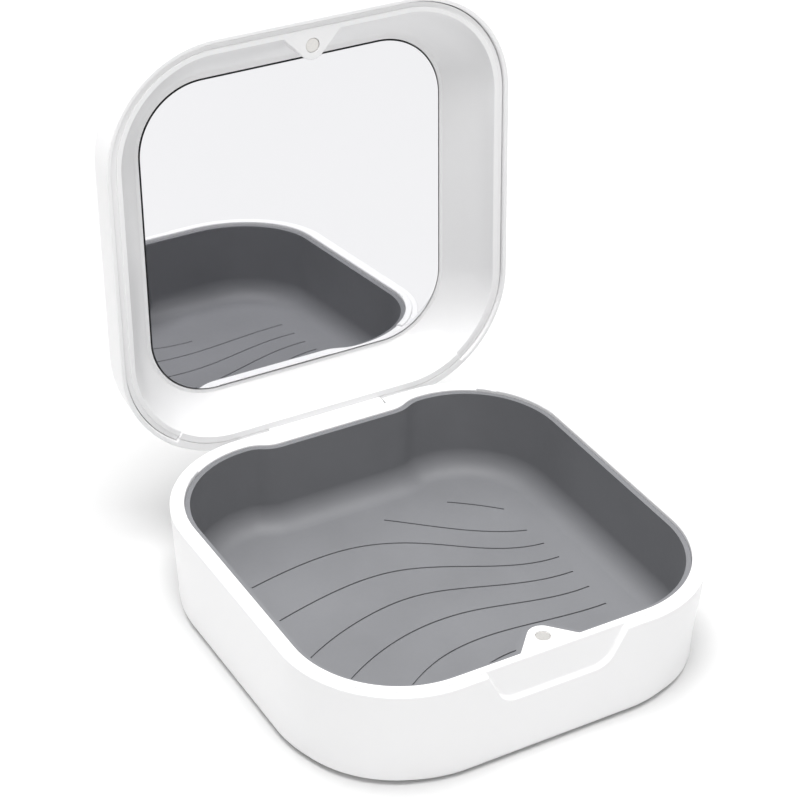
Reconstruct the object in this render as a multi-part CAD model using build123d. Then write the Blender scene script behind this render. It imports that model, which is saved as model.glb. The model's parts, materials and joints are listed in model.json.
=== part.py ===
from build123d import *
import os
from math import acos, atan2, cos, degrees, radians, sin, tan

# Outline of the closed case, seen from above
width = 80.0
depth = 79.4
corner_radius = 21.4

# Base shell
base_height = 19.6
wall_draft = 1.4
foot_corner_radius = 23.8
bottom_radius = 2.0
floor_thickness = 1.2
rim_band = 1.2
lip_height = 0.4
base_wall = 2.6
lip_end = 30.0
edge_softness = 0.25
lip_softness = 0.35

# Finger recess in the front wall
recess_top_half = 14.3
recess_bottom_half = 10.0
recess_bottom = 12.9
recess_corner = 4.0
recess_blend = 0.4
recess_softness = 0.3

# Soft liner
liner_wall = 0.9
liner_floor = 1.2
liner_drop = 0.8
liner_fillet = 4.5
liner_clearance = 0.05
groove_width = 0.32
groove_depth = 0.3

# Inward bump of the base wall in front of the hinge
bump_depth = 1.7
bump_run = 6.4

# Magnet bosses, one in each half
boss_root_half = 5.45
boss_wall = 1.3
boss_reach = 5.2
boss_root_radius = 2.2
boss_drop = 0.55
magnet_diameter = 2.6
magnet_height = 2.5
magnet_sink = 0.12
magnet_chamfer = 0.12
magnet_clearance = 0.05

# Lid shell
lid_height = 12.05
lid_inset = 0.15
lid_draft = 5.0
lid_top_radius = 7.5
lid_ceiling = 1.5
rim_gap = 0.15
rebate_gap = 0.35

# Lid frame, the white bezel that holds the mirror's edge and the magnet
frame_wall = 1.85
frame_rim = 2.95
frame_clearance = 0.08
bead_inset = 2.1
bead_gap = 0.1
bead_softness = 0.2
block_height = 2.4
shelf_width = 0.7
shelf_thickness = 1.85

# Mirror
mirror_width = 60.05
mirror_depth = 60.45
mirror_corner = 12.5
mirror_shift = 1.16
mirror_glass = 1.7
coating_thickness = 0.07
tape_thickness = 0.2
tape_border = 1.5
mirror_gap = 0.2

# Hinge
hinge_inset = 0.66
open_angle = 94.0
barrel_wall = 0.55
barrel_cover = 0.07
pin_diameter = 1.0
pin_clearance = 0.05
pin_press = 0.01
pin_chamfer = 0.1
pin_end_gap = 0.35
knuckle_half = 11.7
knuckle_gap = 0.15
ear_width = 5.8
ear_cap = 0.7
pocket_clearance = 0.25
stop_gap = 0.03

# How far a cutting shape runs past what it cuts
overcut = 1.0

# Places nearer to each other than this count as the same place
same_place = 0.01

# Heights and places that follow from the sizes above
lip_top = base_height + lip_height
boss_top = lip_top - boss_drop
magnet_radius = magnet_diameter / 2
boss_tip_radius = magnet_radius + magnet_clearance + boss_wall
barrel_radius = pin_diameter / 2 + barrel_wall
hinge_y = depth / 2 - hinge_inset
hinge_z = base_height - barrel_cover - barrel_radius
block_inset = hinge_inset + barrel_radius
ear_start = knuckle_half + knuckle_gap
ear_end = ear_start + ear_width
hinge_axis = Axis((0, hinge_y, hinge_z), (1, 0, 0))
lid_rim = base_height + rim_gap
lid_top = lid_rim + lid_height
ceiling = lid_top - lid_ceiling
frame_low = lip_top + rebate_gap
bead_low = lip_top + bead_gap
tape_low = ceiling - tape_thickness
coating_low = tape_low - coating_thickness
mirror_face = coating_low - mirror_glass
shelf = ceiling - shelf_thickness
liner_top = lip_top - liner_drop
tray_floor = floor_thickness + liner_floor
boss_y = -(depth / 2 - base_wall) + boss_reach - boss_tip_radius


# How far the lid's inner wall has drawn in, from 0 at the rim to 1 at the shelf, as it rises
cove_profile = ((0.0, 0.0), (0.35, 0.2), (0.7, 0.54), (1.0, 1.0))


def on(height):
    """The horizontal plane at this height."""
    return Plane.XY.offset(height)


def outline(inset):
    """The case's rounded outline, drawn in by the inset."""
    return RectangleRounded(width - 2 * inset, depth - 2 * inset, corner_radius - inset)


def prism(sketch, low, high):
    """A straight block over the sketch, from one height to another."""
    return extrude(on(low) * sketch, amount=high - low)


def back_zone(gap, low, high):
    """The back stretch of the rim, where the halves meet at the hinge, drawn in by the gap at its ends."""
    corner_x = width / 2 - corner_radius
    corner_y = depth / 2 - corner_radius
    turn = acos((lip_end - corner_x) / (corner_radius - rim_band))
    near = (corner_x - gap * sin(turn), corner_y + gap * cos(turn))
    far = (near[0] + 2 * corner_radius * cos(turn), near[1] + 2 * corner_radius * sin(turn))
    plan = Polygon((-near[0], near[1]), near, far, (-far[0], far[1]), align=None)
    return prism(plan, low, high)


def bump_turn():
    """How far each of the four arcs of the bump turns, in radians."""
    return 2 * atan2(bump_depth, bump_run)


def bump_radius():
    """Radius of the four arcs that lead in and out of the bump."""
    return bump_run / 2 / sin(bump_turn())


def bump(inset):
    """The region that the hinge's housing takes from the tray, grown by the inset."""
    inner = depth / 2 - base_wall - inset
    start = ear_start + bump_run
    turn = degrees(bump_turn())
    tight = bump_radius() - inset
    wide = bump_radius() + inset
    lead_in = JernArc((-start, inner), (1, 0), tight, -turn)
    level_in = JernArc(lead_in @ 1, lead_in % 1, wide, turn)
    flat = Line(level_in @ 1, (-(level_in @ 1).X, (level_in @ 1).Y))
    level_out = JernArc(flat @ 1, (1, 0), wide, turn)
    lead_out = JernArc(level_out @ 1, level_out % 1, tight, -turn)
    behind = Polyline(lead_out @ 1, (start, depth / 2), (-start, depth / 2), lead_in @ 0)
    return make_face([lead_in, level_in, flat, level_out, lead_out, *behind.edges()])


def boss(inset):
    """Outline of a magnet boss, a rounded tip on a wide root, grown by the inset."""
    root_y = -(depth / 2 - base_wall / 2)
    tip = Pos(0, boss_y) * Circle(boss_tip_radius + inset)
    left = Pos(-boss_root_half, root_y) * Circle(base_wall / 2 + inset)
    right = Pos(boss_root_half, root_y) * Circle(base_wall / 2 + inset)
    return make_hull([*tip.edges(), *left.edges(), *right.edges()])


def tray(inset=0, boss_too=True):
    """The white wall's inner line: the outline less the bump and the boss, drawn in by the inset."""
    plan = outline(base_wall + inset) - bump(inset)
    if not boss_too:
        return plan
    plan -= boss(inset)
    root_y = -(depth / 2 - base_wall - inset)
    roots = [v for v in plan.vertices() if abs(v.Y - root_y) < same_place and abs(v.X) < 2 * boss_root_half]
    return fillet(roots, boss_root_radius - inset)


def on_hinge_axis(low, high, radius):
    """A round bar along the hinge axis, from one X to another."""
    return Pos((low + high) / 2, hinge_y, hinge_z) * Rot(0, 90, 0) * Cylinder(radius, high - low)


def opened(shape):
    """A lid piece, made on the closed case, swung up to where the open lid stands."""
    return shape.rotate(hinge_axis, -open_angle)


def at_height(shape, height):
    """The shape's edges that lie level at this height."""
    level = [e for e in shape.edges() if e.bounding_box().size.Z < same_place]
    return [e for e in level if abs(e.center().Z - height) < same_place]


def on_line(edges, plan):
    """Those of the edges whose middle lies on the plan's outer line."""
    line = plan.face().outer_wire()
    return [e for e in edges if line.distance_to(Vertex((e @ 0.5).X, (e @ 0.5).Y, 0)) < same_place]


# Base


def finger_recess():
    """The cut in the front wall that lets a finger reach under the lid."""
    top = lip_top + overcut
    shape = Polygon(
        (-recess_bottom_half, recess_bottom),
        (recess_bottom_half, recess_bottom),
        (recess_top_half, top),
        (-recess_top_half, top),
        align=None,
    )
    corners = [v for v in shape.vertices() if v.Y < recess_bottom + same_place]
    face = fillet(corners, recess_corner)
    cut = extrude(Plane.XZ.offset(depth / 2 - rim_band) * face, amount=2 * rim_band)
    level = [e for e in cut.edges() if abs((e @ 0).Y - (e @ 1).Y) < same_place]
    inner = [e for e in level if abs((e @ 0.5).Y + depth / 2 - rim_band) < same_place]
    return fillet([e for e in inner if (e @ 0.5).Z < top - same_place], recess_blend)


def recess_edge(body):
    """The edge of the finger recess on the front wall."""
    front = [e for e in body.edges() if (e @ 0.5).Y < -(depth - rim_band) / 2]
    near = [e for e in front if abs((e @ 0.5).X) < recess_top_half]
    return [e for e in near if recess_bottom - same_place < (e @ 0.5).Z < base_height - edge_softness]


def hinge_ears():
    """Two fixed barrels, each with a flat pad that the open lid's rim leans on."""
    closed_pad = Polyline(
        (hinge_y, hinge_z - barrel_radius / 2),
        (hinge_y, lid_rim - stop_gap),
        (hinge_y + barrel_radius, lid_rim - stop_gap),
        (hinge_y + barrel_radius + hinge_inset, hinge_z + barrel_radius / 2),
        (hinge_y + barrel_radius + hinge_inset, hinge_z - barrel_radius / 2),
        close=True,
    )
    ears = []
    for low in (ear_start, -ear_end):
        profile = Plane.YZ.offset(low) * make_face(closed_pad.edges())
        pad = extrude(profile, amount=ear_width)
        ears.append(opened(pad) + on_hinge_axis(low, low + ear_width, barrel_radius))
    return ears


def hinge_pocket():
    """The room that the lid's knuckle and its web turn in."""
    radius = barrel_radius + pocket_clearance
    reach = block_inset + overcut
    block = Box(2 * ear_start, 2 * reach, 2 * reach, align=(Align.CENTER, Align.MIN, Align.MIN))
    above = Pos(0, hinge_y - radius, hinge_z) * block
    behind = Pos(0, hinge_y, hinge_z - barrel_radius) * block
    return on_hinge_axis(-ear_start, ear_start, radius) + above + behind


def base_block():
    """The base's outer body, which draws in and grows rounder at the corners towards its foot."""
    draw = base_height * tan(radians(wall_draft))
    foot = RectangleRounded(width - 2 * draw, depth - 2 * draw, foot_corner_radius)
    body = loft(Sketch() + foot + on(base_height) * outline(0), ruled=True)
    return fillet(at_height(body, 0), bottom_radius)


def base_shell():
    """The white lower half, with its rim step, boss, finger recess and hinge ears."""
    body = base_block()
    body = fillet(at_height(body, base_height), edge_softness)
    lip = fillet(at_height(prism(outline(rim_band), floor_thickness, lip_top), lip_top), edge_softness)
    body += lip - back_zone(0, base_height, lip_top + overcut)
    body -= finger_recess()
    body = fillet(recess_edge(body), recess_softness)
    wall_line = tray(boss_too=False)
    body -= prism(tray(), floor_thickness, lip_top + overcut)
    body -= prism(wall_line, boss_top, lip_top + overcut)
    body = fillet(on_line(at_height(body, lip_top), wall_line), lip_softness)
    body = fillet(on_line(at_height(body, base_height), wall_line), edge_softness)
    for ear in hinge_ears():
        body += ear
    body -= hinge_pocket()
    body -= on_hinge_axis(-ear_end - overcut, ear_end - ear_cap, pin_diameter / 2 + pin_press)
    body -= magnet_hole(boss_top, down=True)
    return body


def magnet_hole(face_height, down):
    """The blind hole for a magnet, from the boss's face into the boss."""
    deep = magnet_sink + magnet_height
    reach = Align.MAX if down else Align.MIN
    hole = Cylinder(magnet_radius + magnet_clearance, deep, align=(Align.CENTER, Align.CENTER, reach))
    return Pos(0, boss_y, face_height) * hole


def magnet(low):
    """A small disc magnet with softened edges, standing on this height."""
    disc = Cylinder(magnet_radius, magnet_height, align=(Align.CENTER, Align.CENTER, Align.MIN))
    return Pos(0, boss_y, low) * chamfer(disc.edges().filter_by(GeomType.CIRCLE), magnet_chamfer)


def base_liner():
    """The soft grey tray that lines the base, with shallow wave grooves in its floor."""
    body = prism(tray(liner_clearance), floor_thickness, liner_top)
    inner = liner_clearance + liner_wall
    radius = min(liner_fillet, bump_radius() - inner - edge_softness)
    room = prism(tray(inner, boss_too=False), tray_floor, liner_top + overcut)
    room = fillet(at_height(room, tray_floor), radius)
    room = room & prism(tray(inner), floor_thickness, liner_top + overcut)
    body -= room
    body -= wave_grooves() & (Pos(0, 0, -groove_depth) * room)
    return body


def wave_lines():
    """The wave grooves in plan, each from left to right."""
    return [
        [(18.4, 25.3), (22.8, 21.9), (26.7, 18.3)],
        [(5.0, 25.9), (13.8, 18.4), (18.7, 14.7), (26.9, 10.6)],
        [(-26.2, 19.0), (-13.7, 21.1), (-2.5, 20.6), (7.0, 16.6), (16.9, 9.6), (27.5, 5.7)],
        [(-26.2, 8.3), (-12.9, 11.2), (-1.5, 11.3), (8.5, 7.7), (18.0, 3.0), (27.7, 0.9)],
        [(-26.2, -3.3), (-11.8, 2.2), (-1.0, 3.1), (11.5, -0.5), (27.5, -4.0)],
        [(-26.2, -13.8), (-16.8, -8.4), (-6.0, -5.2), (4.2, -5.1), (16.0, -7.8), (27.6, -9.1)],
        [(-22.0, -24.0), (-14.4, -17.9), (-6.5, -14.0), (2.0, -12.6), (12.2, -13.3), (27.5, -14.7)],
        [(-10.0, -25.5), (-4.0, -20.9), (1.0, -19.0), (7.5, -18.4)],
    ]


def wave_grooves():
    """Upright strips over the wave lines, as wide as a groove."""
    strips = Part()
    for points in wave_lines():
        strip = trace(on(floor_thickness) * Spline(*points), line_width=groove_width)
        strips += extrude(strip, amount=base_height)
    return strips


def hinge_pin():
    """The steel pin that the lid's knuckle turns on."""
    pin = on_hinge_axis(-ear_end + pin_end_gap, ear_end - ear_cap, pin_diameter / 2)
    return chamfer(pin.edges().filter_by(GeomType.CIRCLE), pin_chamfer)


# Lid, on the closed case


def lid_shell():
    """The white outer lid, with the knuckle that turns on the pin."""
    body = extrude(on(lid_rim) * outline(lid_inset), amount=lid_height, taper=lid_draft)
    body = fillet(at_height(body, lid_top), lid_top_radius)
    body -= lid_room(0)
    body = fillet(at_height(body, lid_rim), edge_softness)
    web = Box(
        2 * knuckle_half,
        block_inset - lid_inset,
        lid_rim - hinge_z + 2 * edge_softness,
        align=(Align.CENTER, Align.MIN, Align.MIN),
    )
    body += Pos(0, hinge_y - barrel_radius, hinge_z) * web
    body += on_hinge_axis(-knuckle_half, knuckle_half, barrel_radius)
    body -= on_hinge_axis(-ear_start, ear_start, pin_diameter / 2 + pin_clearance)
    return body


def lid_room(gap):
    """The hollow of the lid shell, drawn in by the gap, with the thick back stretch left out."""
    skirt = rim_band - rim_gap + gap
    room = extrude(on(lid_rim) * outline(skirt), amount=ceiling - lid_rim, taper=lid_draft)
    room = fillet(at_height(room, ceiling), lid_top_radius - lid_ceiling)
    above = lid_rim + block_height + gap
    behind = back_zone(rim_gap - gap, lid_rim - overcut, above)
    return room - (behind - prism(outline(block_inset + gap), lid_rim - overcut, above))


def cove(grow, high):
    """The lid's sloping inner hollow, from the rim to this height, grown sideways."""
    border = mirror_gap + shelf_width
    rim_x = width / 2 - frame_rim
    rim_y = depth / 2 - frame_rim
    rim_corner = corner_radius - frame_rim
    sections = Sketch()
    for rise, draw in cove_profile:
        half = rim_x + (mirror_width / 2 + border - rim_x) * draw + grow
        front = rim_y + (mirror_depth / 2 + border - mirror_shift - rim_y) * draw + grow
        back = rim_y + (mirror_depth / 2 + border + mirror_shift - rim_y) * draw + grow
        corner = rim_corner + (mirror_corner + border - rim_corner) * draw + grow
        face = Pos(0, (back - front) / 2) * RectangleRounded(2 * half, front + back, corner)
        sections += on(lid_rim + (high - lid_rim) * rise) * face
    return loft(sections)


def mirror_plate(grow, low, high):
    """A plate of the mirror's outline, grown by this much."""
    face = RectangleRounded(mirror_width + 2 * grow, mirror_depth + 2 * grow, mirror_corner + grow)
    return prism(Pos(0, mirror_shift) * face, low, high)


def lid_frame():
    """The white bezel inside the lid: a rim, a sloping wall, a magnet boss and a shelf."""
    room = lid_room(frame_clearance)
    rebate = prism(outline(0) - outline(bead_inset), lid_rim - overcut, frame_low)
    rebate += prism(outline(0), lid_rim - overcut, bead_low)
    rebate -= back_zone(rim_gap, lid_rim - overcut, frame_low)
    wall = room & cove(frame_wall, ceiling)
    body = wall - cove(0, shelf) - mirror_plate(mirror_gap, shelf - overcut, ceiling + overcut)
    body += prism(outline(bead_inset) & boss(0), bead_low, shelf) & room
    body = fillet(at_height(body - rebate, bead_low), bead_softness)
    return body - magnet_hole(bead_low, down=False)


def mirror():
    """The silvered glass plate."""
    return mirror_plate(0, mirror_face, coating_low)


def mirror_coating():
    """The dark paint over the silvering, on the back of the glass."""
    return mirror_plate(0, coating_low, tape_low)


def mirror_tape():
    """The double-sided tape that holds the mirror to the lid's ceiling."""
    return mirror_plate(-tape_border, tape_low, ceiling)


def write(name, shape):
    """Write one piece to its own file."""
    export_step(shape, f"parts/{name}.step")
    print(name, round(shape.volume, 1), len(shape.solids()))


def main():
    """Make every piece and write it."""
    os.makedirs("parts", exist_ok=True)
    write("base_shell", base_shell())
    write("base_liner", base_liner())
    write("base_magnet", magnet(boss_top - magnet_sink - magnet_height))
    write("hinge_pin", hinge_pin())
    write("lid_shell", opened(lid_shell()))
    write("lid_frame", opened(lid_frame()))
    write("lid_magnet", opened(magnet(bead_low + magnet_sink)))
    write("mirror", opened(mirror()))
    write("mirror_coating", opened(mirror_coating()))
    write("mirror_tape", opened(mirror_tape()))


if __name__ == "__main__":
    main()
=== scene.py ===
import json
import math

import bmesh
import bpy
from bpy.props import FloatProperty, FloatVectorProperty, IntProperty, PointerProperty
from mathutils import Matrix, Vector


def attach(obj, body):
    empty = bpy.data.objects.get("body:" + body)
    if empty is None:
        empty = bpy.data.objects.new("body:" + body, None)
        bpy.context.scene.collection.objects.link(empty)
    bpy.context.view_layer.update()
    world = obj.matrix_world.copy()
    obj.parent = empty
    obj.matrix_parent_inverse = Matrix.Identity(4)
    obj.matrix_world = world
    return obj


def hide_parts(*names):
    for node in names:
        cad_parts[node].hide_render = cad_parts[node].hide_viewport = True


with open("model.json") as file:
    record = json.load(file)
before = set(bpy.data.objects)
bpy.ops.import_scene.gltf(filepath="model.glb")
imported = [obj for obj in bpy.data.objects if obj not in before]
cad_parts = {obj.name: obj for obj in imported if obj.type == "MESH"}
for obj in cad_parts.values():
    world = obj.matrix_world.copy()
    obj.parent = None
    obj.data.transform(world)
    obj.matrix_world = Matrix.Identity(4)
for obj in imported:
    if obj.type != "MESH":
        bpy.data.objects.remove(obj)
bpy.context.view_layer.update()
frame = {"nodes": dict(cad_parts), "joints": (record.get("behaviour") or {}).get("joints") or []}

bl_info = {
    "name": "Aligner case",
    "version": (1, 0, 0),
    "blender": (4, 5, 0),
    "location": "View3D > Sidebar > Aligner case",
    "description": "Finishes the shells, soft tray, mirror, magnets and hinge pin of an aligner case",
    "category": "Object",
}

MILLIMETRE = 0.001

# Mesh limits

MERGE_REACH = 0.0005 * MILLIMETRE
FLAT_ANGLE = math.radians(0.2)
WELD_REACH = 0.001 * MILLIMETRE
FINE_EDGE = 0.02 * MILLIMETRE

# Linear colours of the pieces that hardly show

TAPE_SHADE = (0.6, 0.59, 0.56)
TAPE_TONE = (0.7, 0.69, 0.66)
STEEL_TONE = (0.6, 0.6, 0.61)

# Floor and softboxes, in metres, and their plain whites

FLOOR_REACH = 1.2
FLOOR_SIDES = 96
FLOOR_TONE = (0.74, 0.74, 0.74, 1.0)
WHITE = (1.0, 1.0, 1.0, 1.0)
LIGHT_TARGET = (0.0, 0.0, 0.03)
OVERHEAD_PLACE = (-0.08, -0.12, 1.8)
FRONT_PLACE = (-0.15, -0.95, 0.5)
BACK_PLACE = (-0.3, 0.7, 0.7)
OVERHEAD_SIZE = 1.3
SIDE_SIZE = 0.7


# Sizes, colours and stage that a user would change


class CaseSizes(bpy.types.PropertyGroup):
    """Small sizes of the finish."""

    crisp_angle: FloatProperty(
        name="Crisp angle",
        description="Edges sharper than this stay crisp, and the others are shaded smooth",
        default=math.radians(35.0),
        min=0.0,
        unit="ROTATION",
    )
    mirror_corner: FloatProperty(
        name="Mirror corner",
        description="Corner radius of the mirror and of the paint on its back",
        default=12.5 * MILLIMETRE,
        min=0.0,
        unit="LENGTH",
    )
    tape_corner: FloatProperty(
        name="Tape corner",
        description="Corner radius of the tape that holds the mirror",
        default=11.0 * MILLIMETRE,
        min=0.0,
        unit="LENGTH",
    )
    glass_bevel: FloatProperty(
        name="Glass bevel",
        description="Width of the ground bevel round the mirror",
        default=0.1 * MILLIMETRE,
        min=0.0,
        unit="LENGTH",
    )
    corner_steps: IntProperty(
        name="Corner steps",
        description="How many faces round a corner of the mirror",
        default=24,
        min=4,
        max=64,
    )


class CaseColours(bpy.types.PropertyGroup):
    """Colours of the materials, linear."""

    shell: FloatVectorProperty(
        name="Shell",
        description="White of the moulded shells",
        default=(0.938, 0.936, 0.94),
        subtype="COLOR",
        min=0.0,
        max=1.0,
    )
    tray: FloatVectorProperty(
        name="Tray",
        description="Grey of the soft tray",
        default=(0.204, 0.207, 0.219),
        subtype="COLOR",
        min=0.0,
        max=1.0,
    )
    silver: FloatVectorProperty(
        name="Silver",
        description="Tint of the mirror's reflection",
        default=(0.775, 0.775, 0.79),
        subtype="COLOR",
        min=0.0,
        max=1.0,
    )
    # Real paint on the mirror's back, also used as painted shade on the mirror's ground edge for the
    # dark look of the clear glass edge
    paint: FloatVectorProperty(
        name="Paint",
        description="Dark paint on the mirror's back and edge",
        default=(0.012, 0.013, 0.014),
        subtype="COLOR",
        min=0.0,
        max=1.0,
    )
    nickel: FloatVectorProperty(
        name="Nickel",
        description="Warm grey of the magnets' plating",
        default=(0.86, 0.845, 0.82),
        subtype="COLOR",
        min=0.0,
        max=1.0,
    )


class CaseStage(bpy.types.PropertyGroup):
    """Camera and light."""

    target: FloatVectorProperty(
        name="Target",
        description="Point that the camera looks at",
        default=(6.681 * MILLIMETRE, 24.262 * MILLIMETRE, 29.582 * MILLIMETRE),
        subtype="TRANSLATION",
        unit="LENGTH",
    )
    azimuth: FloatProperty(
        name="Azimuth",
        description="How far round to the left the camera stands",
        default=math.radians(-31.035),
        unit="ROTATION",
    )
    elevation: FloatProperty(
        name="Elevation",
        description="How far above the horizon the camera stands",
        default=math.radians(33.025),
        unit="ROTATION",
    )
    roll: FloatProperty(
        name="Roll",
        description="How far the camera leans about its own axis",
        default=math.radians(1.772),
        unit="ROTATION",
    )
    distance: FloatProperty(
        name="Distance",
        description="How far the camera is from its target",
        default=429.639 * MILLIMETRE,
        unit="LENGTH",
    )
    lens: FloatProperty(
        name="Lens",
        description="Focal length on a sensor 36 mm wide",
        default=107.17,
        unit="CAMERA",
    )
    sky: FloatProperty(
        name="Sky",
        description="Strength of the even light from all round",
        default=0.3,
        min=0.0,
    )
    backdrop: FloatProperty(
        name="Backdrop",
        description="Brightness of the plain backdrop behind the floor",
        default=0.8,
        min=0.0,
    )
    overhead: FloatProperty(
        name="Overhead",
        description="Power of the softbox above the case",
        default=43.5,
        min=0.0,
        unit="POWER",
    )
    front: FloatProperty(
        name="Front",
        description="Power of the softbox before the case",
        default=0.9,
        min=0.0,
        unit="POWER",
    )
    back: FloatProperty(
        name="Back",
        description="Power of the softbox behind the case, on its left",
        default=1.9,
        min=0.0,
        unit="POWER",
    )


# Shader node groups


def shader_group(name, inputs, outputs):
    """An empty node group with these input values and outputs."""
    tree = bpy.data.node_groups.new(name, "ShaderNodeTree")
    for label, value in inputs.items():
        socket = tree.interface.new_socket(label, in_out="INPUT", socket_type="NodeSocketFloat")
        socket.default_value = value
    for label in outputs:
        tree.interface.new_socket(label, in_out="OUTPUT", socket_type="NodeSocketFloat")
    start = tree.nodes.new("NodeGroupInput")
    end = tree.nodes.new("NodeGroupOutput")
    return tree, start, end


def moulding_grain():
    """The fine, even texture of a moulded surface, as a height and as a mask."""
    scales = {"Grain Scale": 3000.0, "Peel Scale": 500.0}
    tree, start, end = shader_group("moulding_grain", scales, ["Height", "Mask"])
    nodes, links = tree.nodes, tree.links
    place = nodes.new("ShaderNodeTexCoord")
    grain = nodes.new("ShaderNodeTexNoise")
    grain.inputs["Detail"].default_value = 2.0
    peel = nodes.new("ShaderNodeTexNoise")
    peel.inputs["Detail"].default_value = 1.0
    both = nodes.new("ShaderNodeMath")
    both.operation = "ADD"
    links.new(place.outputs["Object"], grain.inputs["Vector"])
    links.new(place.outputs["Object"], peel.inputs["Vector"])
    links.new(start.outputs["Grain Scale"], grain.inputs["Scale"])
    links.new(start.outputs["Peel Scale"], peel.inputs["Scale"])
    links.new(grain.outputs["Fac"], both.inputs[0])
    links.new(peel.outputs["Fac"], both.inputs[1])
    links.new(both.outputs["Value"], end.inputs["Height"])
    links.new(peel.outputs["Fac"], end.inputs["Mask"])


def tone_drift():
    """A slow change of tone over the surface, from 0 to 1."""
    tree, start, end = shader_group("tone_drift", {"Scale": 40.0}, ["Drift"])
    nodes, links = tree.nodes, tree.links
    place = nodes.new("ShaderNodeTexCoord")
    cloud = nodes.new("ShaderNodeTexNoise")
    cloud.inputs["Detail"].default_value = 3.0
    spread = nodes.new("ShaderNodeMapRange")
    spread.inputs["From Min"].default_value = 0.35
    spread.inputs["From Max"].default_value = 0.65
    links.new(place.outputs["Object"], cloud.inputs["Vector"])
    links.new(start.outputs["Scale"], cloud.inputs["Scale"])
    links.new(cloud.outputs["Fac"], spread.inputs["Value"])
    links.new(spread.outputs["Result"], end.inputs["Drift"])


def placed_group(tree, name, **values):
    """A group node in a material, with its own input values."""
    node = tree.nodes.new("ShaderNodeGroup")
    node.node_tree = bpy.data.node_groups[name]
    for label, value in values.items():
        node.inputs[label.replace("_", " ")].default_value = value
    return node


# Materials


def new_material(name):
    """A material with only a Principled BSDF, and that shader."""
    material = bpy.data.materials.new(name)
    material.use_nodes = True
    return material, material.node_tree.nodes["Principled BSDF"]


def blend_colours(tree, factor, low, high):
    """A colour that runs from low to high with the factor."""
    mix = tree.nodes.new("ShaderNodeMix")
    mix.data_type = "RGBA"
    mix.inputs["A"].default_value = (*low, 1.0)
    mix.inputs["B"].default_value = (*high, 1.0)
    tree.links.new(factor, mix.inputs["Factor"])
    return mix.outputs["Result"]


def spread_value(tree, factor, low, high):
    """A value that runs from low to high with the factor."""
    spread = tree.nodes.new("ShaderNodeMapRange")
    spread.inputs["To Min"].default_value = low
    spread.inputs["To Max"].default_value = high
    tree.links.new(factor, spread.inputs["Value"])
    return spread.outputs["Result"]


def bumped(tree, height, depth):
    """A normal that follows a height of this depth."""
    bump = tree.nodes.new("ShaderNodeBump")
    bump.inputs["Distance"].default_value = depth
    tree.links.new(height, bump.inputs["Height"])
    return bump.outputs["Normal"]


def shade(colour, factor):
    """The colour, darker or lighter by the factor."""
    return tuple(min(1.0, part * factor) for part in colour)


def white_plastic(colours):
    """Glossy white moulded plastic with a very fine grain."""
    material, shader = new_material("white_plastic")
    tree = material.node_tree
    grain = placed_group(tree, "moulding_grain", Grain_Scale=6000.0, Peel_Scale=2500.0)
    drift = placed_group(tree, "tone_drift", Scale=20.0)
    darker = shade(colours.shell, factor=0.993)
    colour = blend_colours(tree, drift.outputs["Drift"], darker, colours.shell)
    roughness = spread_value(tree, grain.outputs["Mask"], low=0.27, high=0.3)
    tree.links.new(colour, shader.inputs["Base Color"])
    tree.links.new(roughness, shader.inputs["Roughness"])
    normal = bumped(tree, grain.outputs["Height"], depth=0.0002 * MILLIMETRE)
    tree.links.new(normal, shader.inputs["Normal"])
    shader.inputs["IOR"].default_value = 1.49


def tray_elastomer(colours):
    """Matt grey soft-touch elastomer with a fine grain."""
    material, shader = new_material("tray_elastomer")
    tree = material.node_tree
    grain = placed_group(tree, "moulding_grain", Grain_Scale=9000.0, Peel_Scale=1200.0)
    drift = placed_group(tree, "tone_drift", Scale=45.0)
    darker, lighter = shade(colours.tray, factor=0.95), shade(colours.tray, factor=1.05)
    colour = blend_colours(tree, drift.outputs["Drift"], darker, lighter)
    roughness = spread_value(tree, grain.outputs["Mask"], low=0.5, high=0.62)
    tree.links.new(colour, shader.inputs["Base Color"])
    tree.links.new(roughness, shader.inputs["Roughness"])
    normal = bumped(tree, grain.outputs["Height"], depth=0.004 * MILLIMETRE)
    tree.links.new(normal, shader.inputs["Normal"])
    shader.inputs["IOR"].default_value = 1.5


def mirror_silver(colours):
    """The silvered face of the mirror, with the least trace of wiping."""
    material, shader = new_material("mirror_silver")
    tree = material.node_tree
    drift = placed_group(tree, "tone_drift", Scale=30.0)
    darker = shade(colours.silver, factor=0.995)
    colour = blend_colours(tree, drift.outputs["Drift"], darker, colours.silver)
    tree.links.new(colour, shader.inputs["Base Color"])
    roughness = spread_value(tree, drift.outputs["Drift"], low=0.008, high=0.02)
    tree.links.new(roughness, shader.inputs["Roughness"])
    shader.inputs["Metallic"].default_value = 1.0


def back_paint_and_edge_shade(colours):
    """Protective paint on the mirror's back, and painted shade on its ground edge for the dark look of
    clear glass seen edge-on.
    """
    material, shader = new_material("back_paint_and_edge_shade")
    tree = material.node_tree
    grain = placed_group(tree, "moulding_grain", Grain_Scale=8000.0, Peel_Scale=1500.0)
    darker, lighter = shade(colours.paint, factor=0.7), shade(colours.paint, factor=1.4)
    colour = blend_colours(tree, grain.outputs["Mask"], darker, lighter)
    tree.links.new(colour, shader.inputs["Base Color"])
    roughness = spread_value(tree, grain.outputs["Mask"], low=0.35, high=0.55)
    tree.links.new(roughness, shader.inputs["Roughness"])


def foam_tape():
    """Off-white double-sided foam tape."""
    material, shader = new_material("foam_tape")
    tree = material.node_tree
    grain = placed_group(tree, "moulding_grain", Grain_Scale=5000.0, Peel_Scale=2500.0)
    colour = blend_colours(tree, grain.outputs["Mask"], TAPE_SHADE, TAPE_TONE)
    tree.links.new(colour, shader.inputs["Base Color"])
    normal = bumped(tree, grain.outputs["Height"], depth=0.02 * MILLIMETRE)
    tree.links.new(normal, shader.inputs["Normal"])
    shader.inputs["Roughness"].default_value = 0.85


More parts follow.
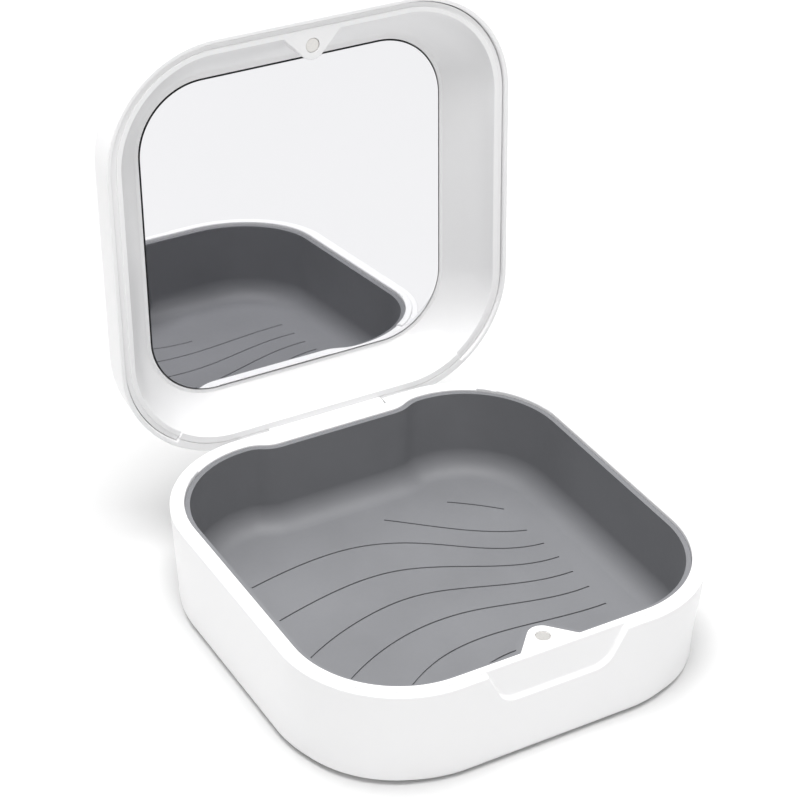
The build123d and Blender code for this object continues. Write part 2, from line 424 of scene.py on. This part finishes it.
def plated_metal(name, colour, low, high):
    """Satin plated metal, its roughness between two values."""
    material, shader = new_material(name)
    tree = material.node_tree
    grain = placed_group(tree, "moulding_grain", Grain_Scale=12000.0, Peel_Scale=3000.0)
    darker, lighter = shade(colour, factor=0.93), shade(colour, factor=1.05)
    tone = blend_colours(tree, grain.outputs["Mask"], darker, lighter)
    tree.links.new(tone, shader.inputs["Base Color"])
    roughness = spread_value(tree, grain.outputs["Mask"], low, high)
    tree.links.new(roughness, shader.inputs["Roughness"])
    normal = bumped(tree, grain.outputs["Height"], depth=0.003 * MILLIMETRE)
    tree.links.new(normal, shader.inputs["Normal"])
    shader.inputs["Metallic"].default_value = 1.0


# Meshes


def joined_copy(node, name):
    """A copy of a frame node as one joined mesh, its flat faces whole."""
    source = frame["nodes"][node].data
    points = [vertex.co for vertex in source.vertices]
    faces = [polygon.vertices[:] for polygon in source.polygons]
    mesh = bpy.data.meshes.new(name)
    mesh.from_pydata(points, [], faces)
    build = bmesh.new()
    build.from_mesh(mesh)
    bmesh.ops.remove_doubles(build, verts=build.verts, dist=MERGE_REACH)
    bmesh.ops.dissolve_limit(build, angle_limit=FLAT_ANGLE, verts=build.verts, edges=build.edges)
    build.to_mesh(mesh)
    build.free()
    piece = bpy.data.objects.new(name, mesh)
    bpy.context.scene.collection.objects.link(piece)
    return piece


def applied(piece):
    """The plain mesh that the piece's modifiers make, with the modifiers removed."""
    made_by_modifiers = piece.evaluated_get(bpy.context.evaluated_depsgraph_get())
    plain = bpy.data.meshes.new_from_object(made_by_modifiers)
    piece.modifiers.clear()
    return plain


def smoothed(piece, angle):
    """Shade the piece smooth up to its crisp edges, with its flat faces kept flat."""
    piece.data.shade_smooth()
    piece.data.set_sharp_from_angle(angle=angle)
    level = piece.modifiers.new("Even normals", "WEIGHTED_NORMAL")
    level.keep_sharp = True
    piece.data = applied(piece)


def finished(node, name, body, angle, material):
    """Put a smooth copy of a node, with its material, in the node's place."""
    piece = joined_copy(node, name)
    smoothed(piece, angle)
    piece.data.materials.clear()
    piece.data.materials.append(material)
    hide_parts(node)
    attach(piece, body)


def made(name):
    """The material of this name."""
    return bpy.data.materials[name]


# Geometry nodes


def linked_node(tree, kind, mode=None, **sources):
    """A node of this kind and mode, with the outputs that feed its inputs."""
    node = tree.nodes.new(kind)
    if mode:
        # Some inputs are there only in one mode, so the mode comes first
        node.mode = mode
    for label, source in sources.items():
        tree.links.new(source, node.inputs[label.replace("_", " ")])
    return node


def calculated(tree, operation, first, second):
    """The result of a sum on two outputs or numbers."""
    node = tree.nodes.new("ShaderNodeMath")
    node.operation = operation
    for socket, value in zip(node.inputs, (first, second)):
        if isinstance(value, float):
            socket.default_value = value
        else:
            tree.links.new(value, socket)
    return node.outputs["Value"]


def plate_inputs(tree):
    """The sizes and materials that a plate takes."""
    for label in ("Width", "Depth", "Corner Radius", "Thickness", "Bevel"):
        socket = tree.interface.new_socket(label, in_out="INPUT", socket_type="NodeSocketFloat")
        socket.subtype = "DISTANCE"
    tree.interface.new_socket("Corner Steps", in_out="INPUT", socket_type="NodeSocketInt")
    tree.interface.new_socket("Edge Material", in_out="INPUT", socket_type="NodeSocketMaterial")
    tree.interface.new_socket("Face Material", in_out="INPUT", socket_type="NodeSocketMaterial")
    return tree.nodes.new("NodeGroupInput").outputs


def plate_back(tree, size):
    """The plate's flat back, a rectangle with round corners."""
    outline = linked_node(
        tree,
        "GeometryNodeCurvePrimitiveQuadrilateral",
        Width=size["Width"],
        Height=size["Depth"],
    )
    corners = linked_node(
        tree,
        "GeometryNodeFilletCurve",
        mode="POLY",
        Curve=outline.outputs["Curve"],
        Count=size["Corner Steps"],
        Radius=size["Corner Radius"],
    )
    back = linked_node(tree, "GeometryNodeFillCurve", mode="NGONS", Curve=corners.outputs["Curve"])
    return back.outputs["Mesh"]


def plate_sides(tree, size, back):
    """The plate's upright edge, its sloping bevel and its face, and a selection of the face."""
    straight = calculated(tree, "SUBTRACT", size["Thickness"], size["Bevel"])
    wall = linked_node(tree, "GeometryNodeExtrudeMesh", Mesh=back, Offset_Scale=straight)
    slope = linked_node(
        tree,
        "GeometryNodeExtrudeMesh",
        Mesh=wall.outputs["Mesh"],
        Selection=wall.outputs["Top"],
        Offset_Scale=size["Bevel"],
    )
    both_bevels = calculated(tree, "MULTIPLY", size["Bevel"], 2.0)
    share = calculated(tree, "DIVIDE", both_bevels, size["Width"])
    drawn_in = linked_node(
        tree,
        "GeometryNodeScaleElements",
        Geometry=slope.outputs["Mesh"],
        Selection=slope.outputs["Top"],
        Scale=calculated(tree, "SUBTRACT", 1.0, share),
    )
    return drawn_in.outputs["Geometry"], slope.outputs["Top"]


def rounded_plate():
    """A flat plate with round corners, a ground bevel round its face, and two materials."""
    tree = bpy.data.node_groups.new("rounded_plate", "GeometryNodeTree")
    size = plate_inputs(tree)
    tree.interface.new_socket("Geometry", in_out="OUTPUT", socket_type="NodeSocketGeometry")
    back = plate_back(tree, size)
    sides, face = plate_sides(tree, size, back)
    turned = linked_node(tree, "GeometryNodeFlipFaces", Mesh=back)
    both = linked_node(tree, "GeometryNodeJoinGeometry", Geometry=sides)
    tree.links.new(turned.outputs["Mesh"], both.inputs["Geometry"])
    closed = linked_node(tree, "GeometryNodeMergeByDistance", Geometry=both.outputs["Geometry"])
    closed.inputs["Distance"].default_value = WELD_REACH
    real = linked_node(tree, "GeometryNodeRealizeInstances", Geometry=closed.outputs["Geometry"])
    edge_finish = linked_node(
        tree,
        "GeometryNodeSetMaterial",
        Geometry=real.outputs["Geometry"],
        Material=size["Edge Material"],
    )
    face_finish = linked_node(
        tree,
        "GeometryNodeSetMaterial",
        Geometry=edge_finish.outputs["Geometry"],
        Selection=face,
        Material=size["Face Material"],
    )
    linked_node(tree, "NodeGroupOutput", Geometry=face_finish.outputs["Geometry"])


def swing():
    """The turn about the hinge that takes the closed lid to where it stands open at rest."""
    joint = frame["joints"][0]
    hinge = Matrix.Translation(Vector(joint["pos_m"]))
    lean = Matrix.Rotation(-math.radians(joint["range_deg"][1]), 4, Vector(joint["axis"]))
    return hinge @ lean @ hinge.inverted()


def closed_box(node):
    """Lowest and highest corner of a lid node, as it lies on the closed case."""
    back = swing().inverted()
    points = [back @ vertex.co for vertex in frame["nodes"][node].data.vertices]
    low = Vector(min(point[axis] for point in points) for axis in range(3))
    high = Vector(max(point[axis] for point in points) for axis in range(3))
    return low, high


def plate_mesh(piece, values):
    """The plain mesh that the plate's tree makes on this piece from these sizes and materials."""
    modifier = piece.modifiers.new("Rounded plate", "NODES")
    modifier.node_group = bpy.data.node_groups["rounded_plate"]
    for socket in modifier.node_group.interface.items_tree:
        if socket.name in values:
            modifier[socket.identifier] = values[socket.name]
    return applied(piece)


def plate_piece(node, name, corner, bevel, edge_material, face_material):
    """Put a round-cornered plate in the place of a lid node, its face towards the tray."""
    low, high = closed_box(node)
    piece = bpy.data.objects.new(name, bpy.data.meshes.new(name))
    bpy.context.scene.collection.objects.link(piece)
    values = {
        "Width": high.x - low.x,
        "Depth": high.y - low.y,
        "Corner Radius": corner,
        "Thickness": high.z - low.z,
        "Bevel": bevel,
        "Corner Steps": bpy.context.scene.case_sizes.corner_steps,
        "Edge Material": edge_material,
        "Face Material": face_material,
    }
    plain = plate_mesh(piece, values)
    face_down = Matrix.Rotation(math.pi, 4, "X")
    middle = Vector(((low.x + high.x) / 2, (low.y + high.y) / 2, high.z))
    plain.transform(swing() @ Matrix.Translation(middle) @ face_down)
    piece.data = plain
    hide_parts(node)
    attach(piece, "lid")


# Operators


class CASE_OT_materials(bpy.types.Operator):
    """Build the shared effects and every material of the case."""

    bl_idname = "case.materials"
    bl_label = "Materials"

    def execute(self, context):
        colours = context.scene.case_colours
        moulding_grain()
        tone_drift()
        white_plastic(colours)
        tray_elastomer(colours)
        mirror_silver(colours)
        back_paint_and_edge_shade(colours)
        foam_tape()
        plated_metal("magnet_nickel", colours.nickel, low=0.42, high=0.55)
        plated_metal("ground_steel", STEEL_TONE, low=0.2, high=0.3)
        return {"FINISHED"}


class CASE_OT_shells(bpy.types.Operator):
    """Finish the white shells of the base and the lid."""

    bl_idname = "case.shells"
    bl_label = "White shells"

    def execute(self, context):
        angle = context.scene.case_sizes.crisp_angle
        finished("base_shell", "base_body", "base", angle, made("white_plastic"))
        finished("lid_shell", "lid_cover", "lid", angle, made("white_plastic"))
        return {"FINISHED"}


class CASE_OT_bezel(bpy.types.Operator):
    """Finish the white bezel that holds the mirror's edge."""

    bl_idname = "case.bezel"
    bl_label = "Mirror bezel"

    def execute(self, context):
        angle = context.scene.case_sizes.crisp_angle
        finished("lid_frame", "mirror_bezel", "lid", angle, made("white_plastic"))
        return {"FINISHED"}


class CASE_OT_tray(bpy.types.Operator):
    """Finish the soft grey tray with its wave grooves."""

    bl_idname = "case.tray"
    bl_label = "Soft tray"

    def execute(self, context):
        angle = context.scene.case_sizes.crisp_angle
        finished("base_liner", "tray_liner", "base", angle, made("tray_elastomer"))
        return {"FINISHED"}


class CASE_OT_mirror(bpy.types.Operator):
    """Make the mirror plate, the paint on its back and the tape that holds it."""

    bl_idname = "case.mirror"
    bl_label = "Mirror"

    def execute(self, context):
        sizes = context.scene.case_sizes
        rounded_plate()
        corner, bevel = sizes.mirror_corner, sizes.glass_bevel
        paint, tape = made("back_paint_and_edge_shade"), made("foam_tape")
        # The mirror's edge and bevel take the dark paint as painted shade, for the dark look of the
        # clear glass edge
        plate_piece("mirror", "mirror_plate", corner, bevel, paint, made("mirror_silver"))
        plate_piece("mirror_coating", "mirror_back_paint", corner, FINE_EDGE, paint, paint)
        plate_piece("mirror_tape", "mirror_tape_pad", sizes.tape_corner, FINE_EDGE, tape, tape)
        return {"FINISHED"}


class CASE_OT_metal(bpy.types.Operator):
    """Finish the two catch magnets and the hinge pin."""

    bl_idname = "case.metal"
    bl_label = "Magnets and pin"

    def execute(self, context):
        angle = context.scene.case_sizes.crisp_angle
        nickel = made("magnet_nickel")
        finished("base_magnet", "base_catch_magnet", "base", angle, nickel)
        finished("lid_magnet", "lid_catch_magnet", "lid", angle, nickel)
        finished("hinge_pin", "hinge_pin_rod", "base", angle, made("ground_steel"))
        return {"FINISHED"}


def add_floor():
    """A plain pale round floor."""
    turns = [math.tau * side / FLOOR_SIDES for side in range(FLOOR_SIDES)]
    rim = [(FLOOR_REACH * math.cos(turn), FLOOR_REACH * math.sin(turn), 0.0) for turn in turns]
    mesh = bpy.data.meshes.new("stage_floor")
    mesh.from_pydata(rim, [], [range(FLOOR_SIDES)])
    floor = bpy.data.objects.new("stage_floor", mesh)
    bpy.context.scene.collection.objects.link(floor)
    material, shader = new_material("stage_paper")
    shader.inputs["Base Color"].default_value = FLOOR_TONE
    shader.inputs["Roughness"].default_value = 0.9
    shader.inputs["Specular IOR Level"].default_value = 0.1
    mesh.materials.append(material)


def add_softbox(name, place, size, power):
    """A square soft light that looks at the case."""
    light = bpy.data.lights.new(name, "AREA")
    light.size = size
    light.energy = power
    box = bpy.data.objects.new(name, light)
    box.location = place
    box.rotation_euler = (Vector(LIGHT_TARGET) - Vector(place)).to_track_quat("-Z", "Y").to_euler()
    bpy.context.scene.collection.objects.link(box)


def add_sky(strength, backdrop):
    """Even white light from all round, and a paler backdrop that only the camera sees."""
    world = bpy.data.worlds.new("stage_sky")
    world.use_nodes = True
    nodes, links = world.node_tree.nodes, world.node_tree.links
    background = nodes["Background"]
    background.inputs["Color"].default_value = WHITE
    path = nodes.new("ShaderNodeLightPath")
    seen = nodes.new("ShaderNodeMapRange")
    seen.inputs["To Min"].default_value = strength
    seen.inputs["To Max"].default_value = backdrop
    links.new(path.outputs["Is Camera Ray"], seen.inputs["Value"])
    links.new(seen.outputs["Result"], background.inputs["Strength"])
    bpy.context.scene.world = world


def add_camera(stage):
    """The camera at the photograph's place."""
    camera = bpy.data.cameras.new("stage_camera")
    camera.sensor_width = 36.0
    camera.lens = stage.lens
    camera.clip_start = 0.01
    camera.clip_end = 20.0
    turn, rise = stage.azimuth, stage.elevation
    back = Vector((math.sin(turn) * math.cos(rise), -math.cos(turn) * math.cos(rise), math.sin(rise)))
    level = Vector((0.0, 0.0, 1.0)).cross(back).normalized()
    right = Matrix.Rotation(stage.roll, 3, back) @ level
    up = back.cross(right)
    view = bpy.data.objects.new("stage_camera", camera)
    axes = Matrix((right, up, back)).transposed()
    view.matrix_world = Matrix.Translation(Vector(stage.target) + back * stage.distance) @ axes.to_4x4()
    bpy.context.scene.collection.objects.link(view)
    bpy.context.scene.camera = view


class CASE_OT_stage(bpy.types.Operator):
    """Set the floor, the light and the camera."""

    bl_idname = "case.stage"
    bl_label = "Stage"

    def execute(self, context):
        stage = context.scene.case_stage
        add_floor()
        add_sky(stage.sky, stage.backdrop)
        add_softbox("overhead_softbox", OVERHEAD_PLACE, OVERHEAD_SIZE, stage.overhead)
        add_softbox("front_softbox", FRONT_PLACE, SIDE_SIZE, stage.front)
        add_softbox("back_softbox", BACK_PLACE, SIDE_SIZE, stage.back)
        add_camera(stage)
        context.scene.view_settings.view_transform = "Standard"
        return {"FINISHED"}


class CASE_PT_panel(bpy.types.Panel):
    """The case's sizes, colours, stage and steps."""

    bl_idname = "CASE_PT_panel"
    bl_label = "Aligner case"
    bl_space_type = "VIEW_3D"
    bl_region_type = "UI"
    bl_category = "Aligner case"

    def draw(self, context):
        for settings in (context.scene.case_sizes, context.scene.case_colours, context.scene.case_stage):
            box = self.layout.box()
            for key in settings.__annotations__:
                box.prop(settings, key)
        for step in STEPS:
            self.layout.operator(step.bl_idname)


STEPS = (
    CASE_OT_materials,
    CASE_OT_shells,
    CASE_OT_bezel,
    CASE_OT_tray,
    CASE_OT_mirror,
    CASE_OT_metal,
    CASE_OT_stage,
)
CLASSES = (CaseSizes, CaseColours, CaseStage, *STEPS, CASE_PT_panel)


def register():
    """Add the classes and the scene's settings."""
    for kind in CLASSES:
        bpy.utils.register_class(kind)
    bpy.types.Scene.case_sizes = PointerProperty(type=CaseSizes)
    bpy.types.Scene.case_colours = PointerProperty(type=CaseColours)
    bpy.types.Scene.case_stage = PointerProperty(type=CaseStage)


def unregister():
    """Remove the scene's settings and the classes."""
    del bpy.types.Scene.case_stage
    del bpy.types.Scene.case_colours
    del bpy.types.Scene.case_sizes
    for kind in reversed(CLASSES):
        bpy.utils.unregister_class(kind)


def main():
    """Make every piece and the stage."""
    register()
    bpy.ops.case.materials()
    bpy.ops.case.shells()
    bpy.ops.case.bezel()
    bpy.ops.case.tray()
    bpy.ops.case.mirror()
    bpy.ops.case.metal()
    bpy.ops.case.stage()


if __name__ == "__main__":
    main()
